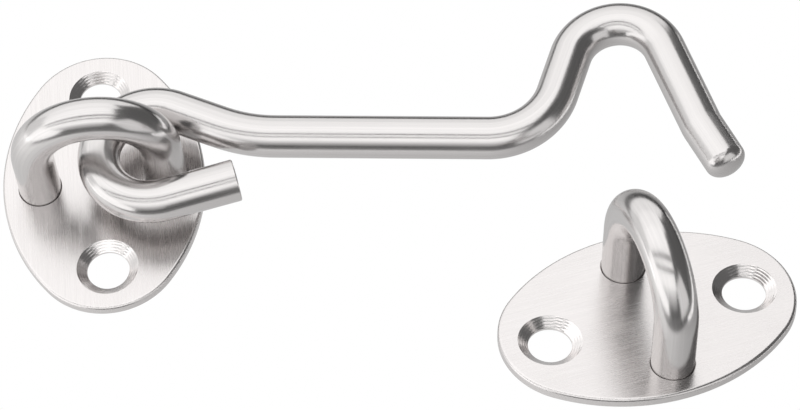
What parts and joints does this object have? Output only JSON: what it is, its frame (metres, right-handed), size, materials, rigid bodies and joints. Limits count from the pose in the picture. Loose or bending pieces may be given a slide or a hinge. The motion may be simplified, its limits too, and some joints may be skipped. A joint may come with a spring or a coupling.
{
  "type": "hook and eye latch",
  "caption": "Cabin-style latch: a bent round-rod hook swings on the welded staple of an oval screw plate, with a matching staple eye on its own plate.",
  "frame": {"origin": "centre of the hook plate's back face", "axes": "+Z out of the hook plate's front, +Y along its row of screws, +X towards the hook's tip"},
  "size_m": [0.1187, 0.0833, 0.0423],
  "materials": {
    "plate_steel": "satin, brushed along the plate",
    "rod_steel": "polished",
    "weld_steel": "ground flush"
  },
  "bodies": {
    "fixed_halves": {"hook_plate": "plate_steel", "hook_staple": "rod_steel", "hook_staple_welds": "weld_steel", "eye_plate": "plate_steel", "eye_staple": "rod_steel", "eye_staple_welds": "weld_steel"},
    "hook": {"hook": "rod_steel"}
  },
  "joints": [
    {"name": "hook_swing", "type": "hinge", "parent": "fixed_halves", "child": "hook", "pos_m": [0.0098, 0, 0.0088], "axis": [0, 0, 1], "range_deg": [-130, 150]}
  ]
}
